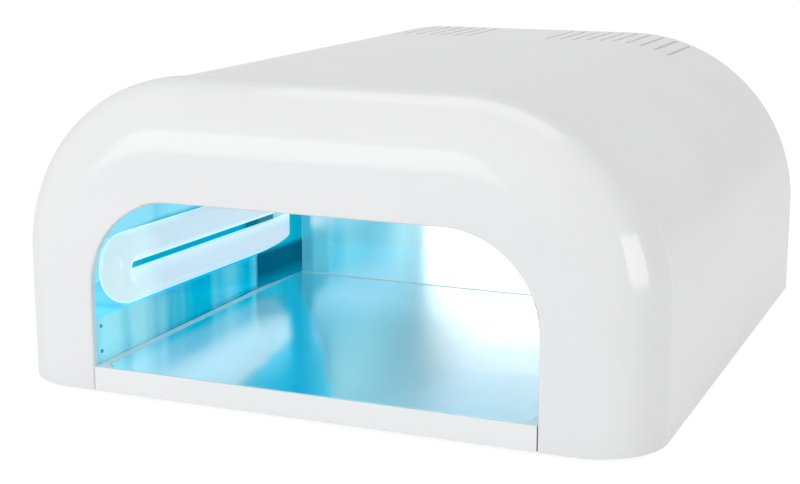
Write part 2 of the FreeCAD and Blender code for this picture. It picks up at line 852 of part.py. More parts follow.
def lampholder(x, z, tall):
    block = stadium(x, z, holder_half_long, holder_half_short, cap_rear, holder_rear, tall)
    play = holder_play
    pin_bore = pin_radius + play
    bores = [cap_post(x, z, tall, play, cap_rear - wall)]
    for a, b in long_points(x, z, pin_pitch / 2, tall):
        bores.append(back(a, cap_rear - wall, b, pin_bore, wall + pin_length + play))
    for a, b in holder_screw_points(x, z, tall):
        bores.append(back(a, holder_rear - holder_screw_bite, b, small_screw_radius, 2 * holder_screw_bite))
    return block.cut(bores)


def bracket_plate(x0, x1, z0, z1, lamps):
    """Upright plate behind some lampholders, with a window for each one's leads."""
    plate = box(x0, x1, holder_rear, bracket_rear, z0, z1)
    cuts = []
    window = lead_pitch / 2 + 3 * lead_radius
    y0 = holder_rear - wall
    y1 = bracket_rear + wall
    for x, z, tall in lamps:
        cuts.append(box(x - window, x + window, y0, y1, z - window, z + window))
        for a, b in holder_screw_points(x, z, tall):
            cuts.append(back(a, y0, b, small_screw_radius, y1 - y0))
    return plate.cut(cuts)


def bracket_foot_plate(x, half):
    foot_top = base_top + bracket_thickness
    foot = box(x - half, x + half, holder_rear - bracket_foot, bracket_rear, base_top, foot_top)
    return foot.cut(up(x, holder_rear - bracket_foot / 2, base_top - wall, small_screw_radius, 3 * wall))


def side_bracket(x):
    """Angle bracket that stands on the base frame and carries one side lampholder."""
    half = holder_half_short
    plate_top = side_tube_z + holder_half_long
    plate = bracket_plate(x - half, x + half, low, plate_top, [(x, side_tube_z, True)])
    below = box(x - 2 * half, x + 2 * half, chamber_rear, rear, low - 2 * wall, base_top)
    return drooped(plate).cut(below).fuse(bracket_foot_plate(x, half))


bridge_leg_x = top_tube_x + holder_half_long - bridge_leg / 2


def ceiling_bridge():
    """Bridge on two legs that carries both ceiling lampholders."""
    half = top_tube_x + holder_half_long
    lamps = [(x, top_tube_z, False) for x in (-top_tube_x, top_tube_x)]
    beam_low = top_tube_z - holder_half_short
    beam = bracket_plate(-half, half, beam_low, top_tube_z + holder_half_short, lamps)
    leg = box(half - bridge_leg, half, holder_rear, bracket_rear, base_top, beam_low)
    feet = pair(bracket_foot_plate(bridge_leg_x, bridge_leg / 2))
    return beam.fuse(pair(leg) + feet)


def tube_clip(x):
    """Spring clip round one limb of a ceiling tube, with a neck up to the ceiling sheet."""
    y0 = tube_tip + clip_front
    inner = tube_radius + clip_gap
    ring = back(x, y0, top_tube_z, inner + clip_thickness, clip_width)
    ring = ring.cut(back(x, y0 - wall, top_tube_z, inner, clip_width + 2 * wall))
    across = 2 * tube_radius
    open_end = box(x - across, x + across, y0 - wall, y0 + clip_width + wall,
                   top_tube_z - across, top_tube_z - tube_radius / 3)
    neck = box(x - clip_neck / 2, x + clip_neck / 2, y0, y0 + clip_width,
               top_tube_z + inner + clip_thickness / 2, ceiling_z)
    return ring.cut(open_end).fuse(neck)


# ---------------------------------------------------------------- controls

def switch_block(x, y0, y1):
    half = switch_width / 2
    return box(x - half, x + half, y0, y1, controls_z - switch_height / 2, controls_z + switch_height / 2)


rocker_y = panel_face - rocker_pivot_depth
rocker_swing = math.radians(rocker_angle)
rocker_reach = rocker_length / 2 * math.cos(rocker_swing) + rocker_rise * math.sin(rocker_swing)


def rocker_outline():
    """Side view of a level rocker, as distances out from the pivot and up from it."""
    half = rocker_length / 2
    return [(rocker_rise, -half), (0, -half), (-rocker_belly, -half / 3), (-rocker_belly, half / 3),
            (0, half), (rocker_rise, half), (rocker_dish, 0)]


def rocker(x):
    """Rocker with its pivot pins, drawn with its upper end pressed in."""
    half = rocker_width / 2
    points = [vec(x - half, rocker_y + outward, controls_z + height) for outward, height in rocker_outline()]
    block = polygon(points).extrude(vec(rocker_width, 0, 0))
    pin_half = half + rocker_pin_length - rocker_pin_gap
    pin = rod(x - pin_half, rocker_y, controls_z, rocker_pin_radius, 2 * pin_half, vec(1, 0, 0))
    block = block.fuse(pin)
    block.rotate(vec(x, rocker_y, controls_z), vec(1, 0, 0), rocker_angle)
    return block


def switch_body(x):
    """Rocker switch body with its bezel and the hollow that the rocker swings in."""
    bezel_half = switch_width / 2 + switch_bezel
    bezel_tall = switch_height / 2 + switch_bezel
    body_rear = panel_face - switch_depth
    bezel = box(x - bezel_half, x + bezel_half, panel_face, panel_face + switch_bezel,
                controls_z - bezel_tall, controls_z + bezel_tall)
    rim = [e for e in bezel.Edges if e.BoundBox.YMin > panel_face + switch_bezel / 2]
    bezel = bezel.makeFillet(switch_bezel / 3, rim)
    half = rocker_width / 2 + rocker_gap
    tall = rocker_reach + rocker_gap
    floor = rocker_y - rocker_belly - rocker_length * math.sin(rocker_swing) / 2 - rocker_gap
    hollow = box(x - half, x + half, floor, panel_face + 2 * switch_bezel,
                 controls_z - tall, controls_z + tall)
    pin_half = rocker_width / 2 + rocker_pin_length
    pin_bore = rocker_pin_radius + rocker_pin_gap
    bore = rod(x - pin_half, rocker_y, controls_z, pin_bore, 2 * pin_half, vec(1, 0, 0))
    return switch_block(x, body_rear, panel_face).fuse(bezel).cut([hollow, bore])


def switch_blades(x):
    y1 = panel_face - switch_depth
    blades = []
    for z in (controls_z - blade_pitch / 2, controls_z + blade_pitch / 2):
        blades.append(box(x - blade_width / 2, x + blade_width / 2, y1 - blade_length, y1,
                          z - blade_thickness / 2, z + blade_thickness / 2))
    return blades


sleeve_radius = button_radius + button_gap + sleeve_wall
sleeve_end = panel_face - sleeve_length
button_end = panel_face + button_proud - button_length
tact_face = button_end - button_travel - button_gap
timer_board_back = tact_face - tact_height
timer_board_front = timer_board_back - board_thickness


def start_button():
    """Push button with a domed face and a collar behind its sleeve."""
    stem = back(button_x, button_end, controls_z, button_radius, button_length)
    rim = [e for e in stem.Edges if e.BoundBox.YMin > panel_face + button_proud / 2]
    stem = stem.makeFillet(button_proud / 3, rim)
    collar_y = sleeve_end - button_gap - button_collar
    return stem.fuse(back(button_x, collar_y, controls_z, button_radius + button_collar, button_collar))


def button_sleeve():
    sleeve = back(button_x, sleeve_end, controls_z, sleeve_radius, sleeve_length)
    flange = back(button_x, panel_face, controls_z, sleeve_radius + sleeve_flange, sleeve_flange_thickness)
    rim = [e for e in flange.Edges if e.BoundBox.YMin > panel_face + sleeve_flange_thickness / 2]
    flange = flange.makeFillet(sleeve_flange_thickness / 2, rim)
    bore = back(button_x, sleeve_end - wall, controls_z, button_radius + button_gap, sleeve_length + 2 * wall)
    return sleeve.fuse(flange).cut(bore)


def button_nut():
    """Hexagonal nut behind the panel."""
    corners = []
    radius = nut_corners / 2
    nut_front = panel_inside - nut_thickness
    for index in range(6):
        angle = math.radians(60 * index)
        across = radius * math.cos(angle)
        corners.append(vec(button_x + across, nut_front, controls_z + radius * math.sin(angle)))
    nut = polygon(corners).extrude(vec(0, nut_thickness, 0))
    return nut.cut(back(button_x, nut_front - wall, controls_z, sleeve_radius, nut_thickness + 2 * wall))


def inlet_block(y0, y1):
    return stadium(inlet_x, inlet_z, inlet_length / 2, inlet_height / 2, y0, y1, False)


inlet_rear = panel_face - inlet_depth
inlet_floor = panel_face + inlet_flange_thickness - inlet_socket_depth


def inlet_pin_places():
    return [inlet_x - inlet_pin_pitch / 2, inlet_x + inlet_pin_pitch / 2]


def mains_inlet():
    """Two-pin appliance inlet: a flanged block with a socket that has round ends."""
    flange_face = panel_face + inlet_flange_thickness
    flange = stadium(inlet_x, inlet_z, inlet_length / 2 + inlet_flange, inlet_height / 2 + inlet_flange / 2,
                     panel_face, flange_face, False)
    socket = stadium(inlet_x, inlet_z, inlet_socket_length / 2, inlet_socket_height / 2,
                     inlet_floor, flange_face + wall, False)
    bores = [back(x, inlet_rear - wall, inlet_z, inlet_pin_radius, inlet_depth) for x in inlet_pin_places()]
    return inlet_block(inlet_rear, panel_face).fuse(flange).cut([socket] + bores)


def inlet_pins():
    start = inlet_rear - inlet_tail
    end = inlet_floor + inlet_pin_length
    pins = []
    for x in inlet_pin_places():
        pin = back(x, start, inlet_z, inlet_pin_radius, end - start)
        tip = [e for e in pin.Edges if e.BoundBox.YMin > end - inlet_pin_radius]
        pins.append(pin.makeFillet(inlet_pin_radius / 2, tip))
    return pins


# ---------------------------------------------------------------- boards

def ballast_board(side):
    x0, x1 = sorted([side * board_inner_x, side * (board_inner_x + board_width)])
    board = box(x0, x1, board_front, board_rear, board_z, board_top)
    return board.cut([up(x, y, board_z - wall, small_screw_radius, 3 * wall)
                      for x, y in board_screw_places() if x * side > 0])


def on_board(share_x, share_y):
    """A spot on each ballast board, as shares of its width and depth."""
    x = board_inner_x + board_width * share_x
    return [(side * x, board_front + board_depth * share_y) for side in (-1, 1)]


def block_on_board(place, length, width, height):
    x, y = place
    return box(x - length / 2, x + length / 2, y - width / 2, y + width / 2, board_top, board_top + height)


def chokes():
    cores = []
    for place in on_board(0.22, 0.68) + on_board(0.5, 0.68):
        core = block_on_board(place, choke_size, choke_size, choke_height)
        groove = block_on_board(place, choke_size / 2, 2 * choke_size, choke_height / 4)
        groove.translate(vec(0, 0, choke_height * 0.8))
        cores.append(core.cut(groove))
    return cores


def capacitors():
    cans = []
    for x, y in on_board(0.68, 0.7):
        can = up(x, y, board_top, capacitor_radius, capacitor_height)
        rim = [edge for edge in can.Edges if edge.BoundBox.ZMin > board_top + capacitor_height / 2]
        cans.append(can.makeFillet(capacitor_radius / 5, rim))
    return cans


def film_capacitors():
    return [block_on_board(place, film_length, film_width, film_height)
            for place in on_board(0.62, 0.36) + on_board(0.84, 0.46)]


def transistors():
    return [block_on_board(place, transistor_width, transistor_thickness, transistor_height)
            for place in on_board(0.45, 0.14) + on_board(0.63, 0.14)]


def board_screws():
    return [down_screw(x, y, board_top) for x, y in board_screw_places()]


def timer_screw_places():
    x0 = timer_board_left + board_margin
    x1 = timer_board_left + timer_board_width - board_margin
    return [(x0, controls_z - timer_board_height / 2 + board_margin),
            (x1, controls_z + timer_board_height / 2 - board_margin)]


timer_board_left = button_x - timer_board_width / 2
timer_screw_bite = (panel_inside - timer_board_back) / 2


def timer_board():
    half = timer_board_height / 2
    board = box(timer_board_left, timer_board_left + timer_board_width, timer_board_front, timer_board_back,
                controls_z - half, controls_z + half)
    return board.cut([back(x, timer_board_front - wall, z, small_screw_radius, 3 * wall)
                      for x, z in timer_screw_places()])


def timer_screws():
    length = board_thickness + timer_screw_bite - fit_gap
    return [screw(vec(x, timer_board_front, z), vec(0, 1, 0), length, small_screw_radius, small_screw_head)
            for x, z in timer_screw_places()]


def tact_switch():
    half = tact_size / 2
    low_z = controls_z - half
    return box(button_x - half, button_x + half, timer_board_back, tact_face, low_z, low_z + tact_size)


def timer_parts():
    """Chip and relay on the front of the timer board."""
    chip_x = button_x + timer_board_width / 4
    chip = box(chip_x - chip_length / 2, chip_x + chip_length / 2, timer_board_front - chip_height,
               timer_board_front, controls_z - chip_width / 2, controls_z + chip_width / 2)
    relay_x = button_x - timer_board_width / 8
    relay = box(relay_x - relay_length / 2, relay_x + relay_length / 2, timer_board_front - relay_height,
                timer_board_front, controls_z - relay_width / 2, controls_z + relay_width / 2)
    return [chip, relay]


# ---------------------------------------------------------------- leads

def lead(points):
    """Round insulated wire: straight runs joined by tangent arcs."""
    edges = []
    begin = points[0]
    for before, corner, after in zip(points, points[1:], points[2:]):
        into = (corner - before).normalize()
        away = (after - corner).normalize()
        turn = into.getAngle(away)
        setback = lead_bend_radius * math.tan(turn / 2)
        start = corner - into * setback
        end = corner + away * setback
        inward = (away - into).normalize()
        middle = corner + inward * (lead_bend_radius / math.cos(turn / 2) - lead_bend_radius)
        edges.append(Part.makeLine(begin, start))
        edges.append(Part.Arc(start, middle, end).toShape())
        begin = end
    edges.append(Part.makeLine(begin, points[-1]))
    path = Part.Wire(edges)
    direction = (points[1] - points[0]).normalize()
    circle = Part.Wire(Part.Edge(Part.Circle(points[0], direction, lead_radius)))
    return path.makePipeShell([circle], True, False)


def lamp_leads():
    """Two leads from each lampholder, back through the bracket and down to its board."""
    leads = []
    for _, x, z, tall in right_lamps():
        start_y, start_z = drooped_place(holder_rear + touch, z) if tall else (holder_rear, z)
        turn_y = holder_rear + lead_run_length
        for lead_x in (x - lead_pitch / 2, x + lead_pitch / 2):
            points = [vec(lead_x, start_y, start_z), vec(lead_x, turn_y, start_z),
                      vec(lead_x, turn_y, board_top)]
            leads.extend(pair(lead(points)))
    return leads


def mains_leads():
    """From the inlet to the power switch, and from both on to the right-hand board."""
    tail_y = inlet_rear - inlet_tail
    blade_y = panel_face - switch_depth - blade_length
    low_z = controls_z - blade_pitch / 2
    high_z = controls_z + blade_pitch / 2
    left_pin, right_pin = inlet_pin_places()
    run_y = min(tail_y, blade_y) - 2 * lead_bend_radius
    live = [vec(left_pin, tail_y, inlet_z), vec(left_pin, run_y, inlet_z), vec(left_pin, run_y, high_z),
            vec(power_switch_x, run_y, high_z), vec(power_switch_x, blade_y, high_z)]
    neutral = [vec(right_pin, tail_y, inlet_z), vec(right_pin, run_y, inlet_z),
               vec(right_pin, run_y, board_top)]
    switched = [vec(power_switch_x, blade_y, low_z), vec(power_switch_x, run_y, low_z),
                vec(power_switch_x, run_y, board_top)]
    return [lead(live), lead(neutral), lead(switched)]


def timer_leads():
    """From the timer switch and the timer board down to the left-hand board."""
    blade_y = panel_face - switch_depth - blade_length
    leads = []
    for order, side in enumerate((-1, 1)):
        z = controls_z + side * blade_pitch / 2
        turn_y = blade_y - 1.2 * lead_bend_radius - order * 2 * lead_bend_radius / 3
        points = [vec(timer_switch_x, blade_y, z), vec(timer_switch_x, turn_y, z),
                  vec(timer_switch_x, turn_y, board_top)]
        leads.append(lead(points))
    return leads


# ---------------------------------------------------------------- write the parts

save("housing_shell", housing_shell())
save("base_frame", base_frame())
save("rubber_feet", rubber_feet())
save("base_screws", base_screws())

save("tray", tray())
save("tray_mirror", mirror_outline(pocket_z, pocket_z + mirror_thickness, mirror_play))
save("tray_rail_right", tray_rail())
save("tray_rail_left", mirrored(tray_rail()))

save("side_mirror_right", side_mirror())
save("side_mirror_left", mirrored(side_mirror()))
save("ceiling_mirror", ceiling_mirror())
save("back_mirror", back_mirror())

all_pins = []
holder_screws = []
for name, lamp_x, lamp_z, stands in right_lamps():
    pieces = {
        "tube": u_tube(lamp_x, lamp_z, stands),
        "tube_cap": tube_cap(lamp_x, lamp_z, stands),
        "lampholder": lampholder(lamp_x, lamp_z, stands),
    }
    pins = cap_pins(lamp_x, lamp_z, stands)
    length = bracket_thickness + holder_screw_bite - fit_gap
    screws = [screw(vec(a, bracket_rear, b), vec(0, -1, 0), length, small_screw_radius, small_screw_head)
              for a, b in holder_screw_points(lamp_x, lamp_z, stands)]
    if stands:
        pieces = {kind: drooped(piece) for kind, piece in pieces.items()}
        pins = [drooped(piece) for piece in pins]
        screws = [drooped(piece) for piece in screws]
    for kind, piece in pieces.items():
        save(name + "_" + kind + "_right", piece)
        save(name + "_" + kind + "_left", mirrored(piece))
    all_pins += pins + [mirrored(piece) for piece in pins]
    holder_screws += screws + [mirrored(piece) for piece in screws]
save("tube_cap_pins", all_pins)
save("lampholder_screws", holder_screws)
save("side_bracket_right", side_bracket(side_tube_x))
save("side_bracket_left", mirrored(side_bracket(side_tube_x)))
save("ceiling_bridge", ceiling_bridge())
clip_xs = [side * (top_tube_x + limb * tube_pitch / 2) for side in (-1, 1) for limb in (-1, 1)]
save("ceiling_tube_clips", [tube_clip(x) for x in clip_xs])

mouth_rivets = [rivet(place, vec(1, 0, 0), sheet + rib_thickness) for place in mouth_rivet_places()]
ceiling_rivets = [rivet(place, vec(0, 0, 1), 2 * sheet) for place in ceiling_rivet_places()]
save("mirror_rivets", [shape for one in mouth_rivets + ceiling_rivets for shape in pair(one)])
sheet_places = liner_screw_places() + mirror_screw_places()
chassis_screws = [down_screw(x, y, base_top + sheet) for x, y in sheet_places]
chassis_screws += [down_screw(x, y, base_top + bracket_thickness) for x, y in bracket_screw_places()]
save("chassis_screws", chassis_screws)

save("power_switch", switch_body(power_switch_x))
save("power_rocker", rocker(power_switch_x))
save("timer_switch", switch_body(timer_switch_x))
save("timer_rocker", rocker(timer_switch_x))
save("switch_blades", switch_blades(power_switch_x) + switch_blades(timer_switch_x))
save("start_button", start_button())
save("button_sleeve", button_sleeve())
save("button_nut", button_nut())
save("mains_inlet", mains_inlet())
save("inlet_pins", inlet_pins())

save("ballast_board_right", ballast_board(1))
save("ballast_board_left", ballast_board(-1))
save("ballast_chokes", chokes())
save("ballast_capacitors", capacitors())
save("film_capacitors", film_capacitors())
save("ballast_transistors", transistors())
save("board_screws", board_screws())
save("timer_board", timer_board())
save("timer_board_screws", timer_screws())
save("tact_switch", tact_switch())
save("timer_board_parts", timer_parts())
save("lamp_leads", lamp_leads())
save("mains_leads", mains_leads())
save("timer_leads", timer_leads())
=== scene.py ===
import json
import math

import bpy
from mathutils import Euler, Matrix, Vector

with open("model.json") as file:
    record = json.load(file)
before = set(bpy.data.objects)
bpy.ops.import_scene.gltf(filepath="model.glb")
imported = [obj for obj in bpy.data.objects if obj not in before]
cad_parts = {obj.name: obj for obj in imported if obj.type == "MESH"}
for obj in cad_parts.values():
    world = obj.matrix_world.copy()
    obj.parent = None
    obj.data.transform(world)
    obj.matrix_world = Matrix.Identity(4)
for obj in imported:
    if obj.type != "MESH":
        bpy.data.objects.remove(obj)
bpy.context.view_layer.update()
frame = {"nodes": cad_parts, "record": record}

nodes = frame["nodes"]
finishes = {}

# Lengths and places are in metres: X across from the middle line, Y along from front (negative) to
# rear, Z up from the table.


# ---------------------------------------------------------------- shader helpers

noise_low, noise_high = 0.3, 0.7     # most values of a noise lie between these


class Term:
    """A shader socket that takes part in Python expressions; each one adds its Math node."""

    def __init__(self, shading, socket):
        self.shading = shading
        self.socket = socket

    def __add__(self, other):
        return self.shading.maths("ADD", self, other)

    def __radd__(self, other):
        return self.shading.maths("ADD", other, self)

    def __sub__(self, other):
        return self.shading.maths("SUBTRACT", self, other)

    def __rsub__(self, other):
        return self.shading.maths("SUBTRACT", other, self)

    def __mul__(self, other):
        return self.shading.maths("MULTIPLY", self, other)

    def __rmul__(self, other):
        return self.shading.maths("MULTIPLY", other, self)

    def __abs__(self):
        return self.shading.maths("ABSOLUTE", self)


class Shading:
    """The nodes of a material or of the backdrop."""

    def __init__(self, tree):
        self.tree = tree

    def put(self, node, values):
        """Set a node's sockets to numbers or colours, or link terms to them."""
        for key, value in values.items():
            socket = node.inputs[key]
            if isinstance(value, Term):
                self.tree.links.new(value.socket, socket)
            elif isinstance(value, tuple) and len(value) == 3 and len(socket.default_value) == 4:
                socket.default_value = (*value, 1.0)
            else:
                socket.default_value = value

    def add(self, kind, settings=None, inputs=None, output=0):
        """Add a node with its settings first and then its sockets, and give one of its outputs."""
        node = self.tree.nodes.new("ShaderNode" + kind)
        for key, value in (settings or {}).items():
            setattr(node, key, value)
        self.put(node, inputs or {})
        return Term(self, node.outputs[output])

    def maths(self, operation, one, other=0.0):
        return self.add("Math", {"operation": operation}, {0: one, 1: other})

    def ray(self, kind):
        """1 for light paths of one kind, such as "Camera", and 0 for the others."""
        return self.add("LightPath", output=f"Is {kind} Ray")

    def part(self, vector, letter):
        """One coordinate of a vector."""
        return self.add("SeparateXYZ", {}, {0: vector}, output=letter)

    def ramp(self, value, low, high, first=0.0, last=1.0):
        """A value's stretch from low to high, laid over the stretch from first to last."""
        return self.add("MapRange", {}, {"Value": value, "From Min": low, "From Max": high,
                                         "To Min": first, "To Max": last})

    def choose(self, factor, one, other):
        """One number where the factor is 0, the other where it is 1."""
        return self.add("Mix", {"data_type": "FLOAT"}, {0: factor, 2: one, 3: other})


class Finish(Shading):
    """A material of the lamp: its Principled shader and the nodes that feed it."""

    def __init__(self, name, colour, roughness, metallic=0.0, **uniform):
        self.material = bpy.data.materials.new(name)
        self.material.use_nodes = True
        super().__init__(self.material.node_tree)
        self.shader = self.tree.nodes["Principled BSDF"]
        self.output = self.tree.nodes["Material Output"]
        self.dress(Base_Color=colour, Roughness=roughness, Metallic=metallic, **uniform)
        finishes[name] = self

    def dress(self, **values):
        """Feed the Principled shader's own sockets; an underscore stands for the space in a name."""
        self.put(self.shader, {key.replace("_", " "): value for key, value in values.items()})

    def place(self, scale=(1, 1, 1)):
        """The point on the piece, stretched by a scale."""
        point = self.add("TexCoord", output="Object")
        return self.add("VectorMath", {"operation": "MULTIPLY"}, {0: point, 1: scale})

    def axis(self, letter):
        """One coordinate of the point on the piece."""
        return self.part(self.place(), letter)

    def geometry(self, vector, letter):
        """One coordinate of the point's "Position" in the room, or of its "Normal"."""
        return self.part(self.add("NewGeometry", output=vector), letter)

    def noise(self, size, detail=2.0, stretch=(1, 1, 1)):
        """Smooth noise from 0 to 1; size is that of its blotches."""
        scale = tuple(share / size for share in stretch)
        return self.add("TexNoise", {}, {"Vector": self.place(scale), "Scale": 1.0, "Detail": detail})

    def above(self, value, limit, blur):
        """1 where the value is past the limit and 0 before it, with a soft edge."""
        return self.ramp(value, limit - blur, limit + blur)

    def below(self, value, limit, blur):
        return self.ramp(value, limit + blur, limit - blur)

    def mix(self, factor, one, other):
        """One colour where the factor is 0, the other where it is 1."""
        return self.add("Mix", {"data_type": "RGBA"}, {"Factor": factor, 6: one, 7: other}, output=2)

    def bump(self, height, distance):
        self.dress(Normal=self.add("Bump", {}, {"Height": height, "Distance": distance}))


def dimmed(colour, share):
    return tuple(part * share for part in colour)


# ---------------------------------------------------------------- plastics and metals

def moulded(name, colour, roughness, shade=0.97, grain=0.0):
    """Moulded plastic: faint drifts of shade and gloss, and a grain if it has one."""
    shade_size, gloss_size, grain_size = 0.05, 0.02, 0.0006
    made = Finish(name, colour, roughness)
    drift = made.ramp(made.noise(shade_size, 3.0), 0.35, 0.65)
    gloss = made.noise(gloss_size, 4.0)
    made.dress(Base_Color=made.mix(drift, dimmed(colour, shade), colour),
               Roughness=made.ramp(gloss, noise_low, noise_high, roughness * 0.9, roughness * 1.12))
    if grain:
        made.bump(made.noise(grain_size, 3.0), grain)
    return made


def metal(name, colour, roughness, stretch=(1, 1, 1), size=0.0008):
    """Sheet or turned metal with a brushed or rolled grain."""
    grain_depth = 0.00001
    made = Finish(name, colour, roughness, 1.0)
    lines = made.noise(size, 3.0, stretch)
    made.dress(Base_Color=made.mix(made.ramp(lines, noise_low, noise_high), dimmed(colour, 0.9), colour),
               Roughness=made.ramp(lines, noise_low, noise_high, roughness * 0.8, roughness * 1.25))
    made.bump(lines, grain_depth)


fine_grain, coarse_grain, stone_grain = 0.00002, 0.00004, 0.00005

shell = moulded("white_shell", (0.83, 0.83, 0.835), 0.1, shade=0.985)
moulded("tray", (0.88, 0.88, 0.878), 0.16, shade=0.985)
moulded("white_base", (0.76, 0.76, 0.765), 0.42, grain=fine_grain)
moulded("foot_rubber", (0.035, 0.035, 0.036), 0.7, shade=0.8, grain=coarse_grain)
moulded("black_plastic", (0.02, 0.02, 0.022), 0.4, shade=0.8, grain=fine_grain)
moulded("black_rocker", (0.018, 0.018, 0.02), 0.18, shade=0.8)
moulded("red_rocker", (0.42, 0.012, 0.012), 0.15, shade=0.85)
moulded("white_cap", (0.78, 0.78, 0.76), 0.4, shade=0.96, grain=fine_grain)
moulded("board_green", (0.02, 0.11, 0.045), 0.35, shade=0.7)
moulded("ferrite", (0.03, 0.028, 0.028), 0.6, shade=0.7, grain=stone_grain)
moulded("capacitor_blue", (0.02, 0.04, 0.14), 0.25, shade=0.85)
moulded("film_red", (0.35, 0.06, 0.015), 0.3, shade=0.8)
moulded("white_lead", (0.7, 0.7, 0.68), 0.45, shade=0.93)
moulded("brown_lead", (0.07, 0.028, 0.012), 0.45, shade=0.85)

metal("screw_steel", (0.55, 0.55, 0.57), 0.28)
metal("zinc_steel", (0.6, 0.61, 0.63), 0.38, size=0.006)
metal("spring_steel", (0.45, 0.46, 0.48), 0.25, stretch=(1, 0.1, 1))
metal("rivet_metal", (0.3, 0.33, 0.35), 0.4)
metal("brass_contacts", (0.75, 0.55, 0.25), 0.22)

# Light on the housing's hidden faces: the tubes' beside the left and right mirrors' rear ends, the
# room's on the upright walls of the vent slots.
dark = (0.0, 0.0, 0.0)
edge = 0.001                             # half the width of a mask's soft edge
inner_side = 0.1137                      # inside the housing's side wall
side_room_top = 0.031
side_room_front, side_room_rear = 0.032, 0.111
slots_bottom = 0.086
slots_front, slots_rear = 0.041, 0.115
steep, steep_blur = 0.5, 0.1             # upward share of an upright wall's normal

height = shell.axis("Z")
along = shell.axis("Y")
side_room = (shell.below(abs(shell.axis("X")), inner_side, edge / 10)
             * shell.below(height, side_room_top, edge)
             * shell.above(along, side_room_front, edge) * shell.below(along, side_room_rear, edge))
upright = shell.below(abs(shell.geometry("Normal", "Z")), steep, steep_blur)
slot_wall = (upright * shell.above(height, slots_bottom, edge)
             * shell.above(along, slots_front, edge) * shell.below(along, slots_rear, edge))
in_slots = shell.mix(slot_wall, dark, (0.07, 0.07, 0.07))
shell.dress(Emission_Color=shell.mix(side_room, in_slots, (0.0, 0.12, 0.17)), Emission_Strength=1.0)


# ---------------------------------------------------------------- mirror sheets

def mirror(name, colour, smooth, rough, haze, ripple, **uniform):
    """Rolled mirror sheet: long rolling lines, patches of haze and a faint ripple.

    Its emission is the tubes' light that the sheet's fine grain scatters.
    """
    line_width, line_stretch, line_height = 0.0007, (1, 0.03, 1), 0.001
    ripple_size, ripple_depth = 0.03, 0.0004
    made = Finish(name, colour, rough, 1.0, Emission_Strength=1.0, **uniform)
    rolled = made.noise(line_width, 2.0, line_stretch)
    patches = made.noise(haze, 2.0)
    made.dress(Base_Color=made.mix(patches, dimmed(colour, 0.95), colour),
               Roughness=made.ramp(rolled * 0.4 + patches * 0.6, noise_low, noise_high, smooth, rough))
    made.bump(made.noise(ripple_size, 1.0) * ripple + rolled * line_height, ripple_depth)
    return made


mirror("ceiling_mirror", (0.7, 0.9, 0.95), 0.12, 0.18, 0.02, 0.4, Emission_Color=(0.01, 0.06, 0.08))

# The side mirrors, painted with reflection and shade: pale at the mouth and high up, in deep upright
# bands of painted reflection further in, and a deep painted shade behind the tube, in the recess that it
# stands in.
deep_teal = (0.01, 0.42, 0.58)
deep_glow = (0.0, 0.11, 0.16)
deep_from, deep_blur = -0.0725, 0.0175
tube_height = 0.046
recess_side = 0.0815                     # past the sheet's lower part
recess_front, recess_blur = -0.0675, 0.0075
recess_top = 0.04625

side = mirror("mirror_sheet", (0.3, 0.72, 0.84), 0.09, 0.15, 0.03, 1.0, Specular_Tint=(0.2, 0.85, 1.0))
height = side.axis("Z")
along = side.axis("Y")
inward = side.above(along, deep_from, deep_blur)
upward = side.above(height, tube_height, 0.002)
bands = side.noise(0.012, 1.5, (0.1, 1, 0.1))
depth = side.ramp(inward * 0.5 + bands * 0.9 - upward * 0.5, 0.42, 0.95)
recess = (side.above(abs(side.axis("X")), recess_side, 0.0003) * side.above(along, recess_front, recess_blur)
          * side.below(height, recess_top, 0.00125))
# Base colour: painted reflection and painted shade; emission: painted glow of the tubes.
side.dress(Base_Color=side.mix(recess, side.mix(depth, (0.42, 0.8, 0.87), deep_teal), (0.02, 0.4, 0.5)),
           Emission_Color=side.mix(recess, side.mix(depth, (0.13, 0.2, 0.2), deep_glow), deep_glow))

# The back mirror: a white plate whose rolled lines smear reflections upright, and a slanted wing at
# each side that is painted deep teal and darker still below the height of the side mirrors' fold: painted
# shade.
plate_front = 0.03145
wing_root = 0.071
fold_height = 0.02475
foot_height = 0.013

back = mirror("back_mirror", (0.97, 0.99, 1.0), 0.13, 0.18, 0.03, 0.2, Anisotropic=1.0,
              Anisotropic_Rotation=0.25, Specular_Tint=(0.4, 0.9, 1.0))
height = back.axis("Z")
wing = back.below(back.axis("Y"), plate_front, 0.00015) * back.above(abs(back.axis("X")), wing_root, edge)
over_fold = back.above(height, fold_height, 0.00125)
over_foot = back.above(height, foot_height, 0.003)
# The wing as seen below the fold: painted shade; in what it mirrors and lights: painted glow of the tubes.
painted_shade_seen = back.mix(over_foot, (0.0, 0.17, 0.26), (0.0, 0.035, 0.06))
wing_glow = back.mix(over_fold, back.mix(back.ray("Camera"), (0.02, 0.27, 0.36), painted_shade_seen), (0.0, 0.1, 0.13))
plate_glow = back.mix(over_fold, (0.07, 0.09, 0.09), (0.07, 0.04, 0.02))
back.dress(Base_Color=back.mix(wing, (0.98, 0.99, 1.0), back.mix(over_fold, (0.003, 0.09, 0.16), deep_teal)),
           Emission_Color=back.mix(wing, plate_glow, wing_glow))

# The tray's mirror, painted with the reflections and light that the chamber's left side throws on it,
# which stays in the chamber when the tray slides out. A deep streak of painted reflection runs from the
# rear left corner to the lip and widens there; to its left lies the lower tube's painted pool of light,
# to its right the sheet clears towards the right and is painted darker towards the lip, painted shade.
mouth = -0.12
slant = 0.6                              # how far the streak goes across for its way along
waver_size, waver = 0.03, 0.006
streak_left, streak_right, streak_blur = -0.067, -0.058, 0.002
widening_from, widening_to, widening = -0.06, -0.12, 0.025
pool_right, pool_left, pool_blur = -0.068, -0.071, 0.003
pool_rear, pool_fade = -0.01, 0.01
corner_right, corner_blur = -0.0585, 0.0035
beside_left, beside_blur = -0.059, 0.003
clear_from, clear_fade = -0.0075, 0.0275
shade_end, shade_fade = -0.02, 0.02
silver = (0.98, 0.985, 0.99)

